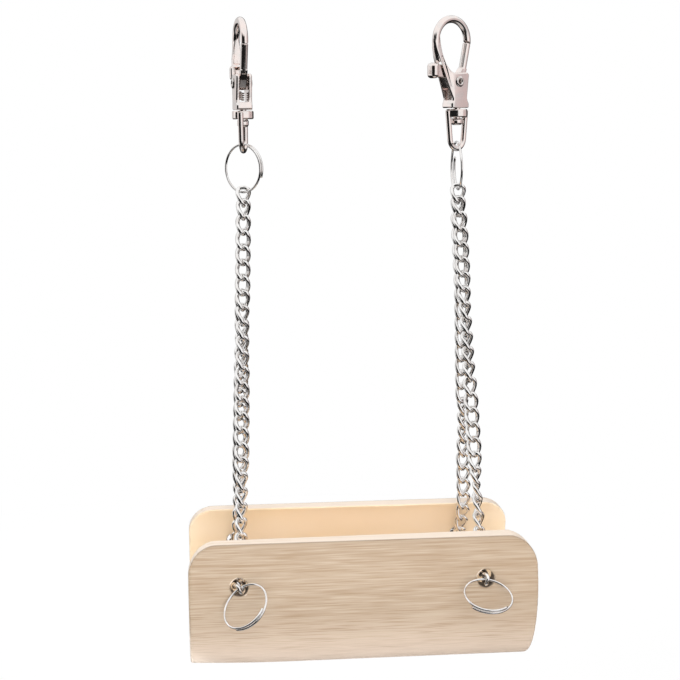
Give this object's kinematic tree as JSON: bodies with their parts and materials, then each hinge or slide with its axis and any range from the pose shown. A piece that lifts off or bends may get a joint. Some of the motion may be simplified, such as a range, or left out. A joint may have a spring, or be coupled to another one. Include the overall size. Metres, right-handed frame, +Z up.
{
  "type": "hamster swing",
  "caption": "Bamboo trough seat for small pets, hung by curb-chain strands from swivel snap hooks, with split rings that stop the strands outside the seat's walls.",
  "frame": {"origin": "On the bar that the swing hangs from, at the crowns of the hooks' loops, midway between the two hooks.", "axes": "X runs along the seat, +X to the right in the picture. -Y is the front. +Z is up."},
  "size_m": [0.1, 0.081, 0.1898],
  "materials": {
    "bamboo": "sanded, bare",
    "nickel_plate": "bright nickel plate",
    "spring_steel": "plain"
  },
  "bodies": {
    "swivel_eyes": {"left_swivel_eye": "nickel_plate", "right_swivel_eye": "nickel_plate"},
    "left_hook": {"left_hook_body": "nickel_plate", "left_pivot_rivet": "spring_steel", "left_trigger_spring": "spring_steel", "left_swivel_post": "nickel_plate"},
    "left_trigger_lever": {"left_trigger": "nickel_plate"},
    "right_hook": {"right_hook_body": "nickel_plate", "right_pivot_rivet": "spring_steel", "right_trigger_spring": "spring_steel", "right_swivel_post": "nickel_plate"},
    "right_trigger_lever": {"right_trigger": "nickel_plate"},
    "top_rings": {"left_top_ring": "nickel_plate", "right_top_ring": "nickel_plate"},
    "left_strands": {"left_top_link": "nickel_plate", "left_front_chain": "nickel_plate", "left_front_end_link": "nickel_plate", "left_back_chain": "nickel_plate", "left_back_end_link": "nickel_plate"},
    "right_strands": {"right_top_link": "nickel_plate", "right_front_chain": "nickel_plate", "right_front_end_link": "nickel_plate", "right_back_chain": "nickel_plate", "right_back_end_link": "nickel_plate"},
    "seat": {"bamboo_seat": "bamboo"},
    "left_front_ring": {"left_front_stop_ring": "nickel_plate"},
    "left_back_ring": {"left_back_stop_ring": "nickel_plate"},
    "right_front_ring": {"right_front_stop_ring": "nickel_plate"},
    "right_back_ring": {"right_back_stop_ring": "nickel_plate"}
  },
  "joints": [
    {"name": "left_hook_swivel", "type": "hinge", "parent": "swivel_eyes", "child": "left_hook", "pos_m": [-0.031, 0, -0.0241], "axis": [0, 0, 1], "continuous": true},
    {"name": "left_trigger_press", "type": "hinge", "parent": "left_hook", "child": "left_trigger_lever", "pos_m": [-0.03118, 0.00103, -0.0166], "axis": [-0.9848, -0.1736, 0], "range_deg": [0, 26], "stiffness_Nm_per_rad": 0.004, "springref_deg": -17.19, "deforming": ["left_trigger_spring"]},
    {"name": "right_hook_swivel", "type": "hinge", "parent": "swivel_eyes", "child": "right_hook", "pos_m": [0.031, 0, -0.0241], "axis": [0, 0, 1], "continuous": true},
    {"name": "right_trigger_press", "type": "hinge", "parent": "right_hook", "child": "right_trigger_lever", "pos_m": [0.03012, -0.00057, -0.0166], "axis": [0.5446, -0.8387, 0], "range_deg": [0, 26], "stiffness_Nm_per_rad": 0.004, "springref_deg": -17.19, "deforming": ["right_trigger_spring"]},
    {"name": "swing_front_to_back", "type": "hinge", "parent": "swivel_eyes", "child": "top_rings", "pos_m": [0, 0, -0.03578], "axis": [1, 0, 0], "range_deg": [-28, 28]},
    {"name": "left_strands_sway", "type": "hinge", "parent": "top_rings", "child": "left_strands", "pos_m": [-0.031, 0, -0.04759], "axis": [0, 1, 0], "range_deg": [-12, 12]},
    {"name": "right_strands_sway", "type": "hinge", "parent": "top_rings", "child": "right_strands", "pos_m": [0.031, 0, -0.04759], "axis": [0, 1, 0], "range_deg": [-12, 12]},
    {"name": "seat_level", "type": "hinge", "parent": "left_strands", "child": "seat", "pos_m": [-0.0352, 0, -0.15735], "axis": [0, 1, 0], "range_deg": [-10.6, 10.6]},
    {"name": "left_front_ring_flap", "type": "hinge", "parent": "left_strands", "child": "left_front_ring", "pos_m": [-0.0352, -0.02744, -0.15735], "axis": [0.8033, -0.1303, 0.5812], "range_deg": [-80, 14]},
    {"name": "left_back_ring_flap", "type": "hinge", "parent": "left_strands", "child": "left_back_ring", "pos_m": [-0.0352, 0.02744, -0.15735], "axis": [-0.8033, -0.1303, -0.5812], "range_deg": [-80, 14]},
    {"name": "right_front_ring_flap", "type": "hinge", "parent": "right_strands", "child": "right_front_ring", "pos_m": [0.0352, -0.02744, -0.15735], "axis": [0.9922, -0.0549, -0.1123], "range_deg": [-80, 44]},
    {"name": "right_back_ring_flap", "type": "hinge", "parent": "right_strands", "child": "right_back_ring", "pos_m": [0.0352, 0.02744, -0.15735], "axis": [-0.9922, -0.0549, 0.1123], "range_deg": [-80, 44]}
  ],
  "couplings": [
    {"joint": "seat_level", "follows": "left_strands_sway", "ratio": -0.88068},
    {"joint": "right_strands_sway", "follows": "left_strands_sway", "ratio": 1}
  ]
}
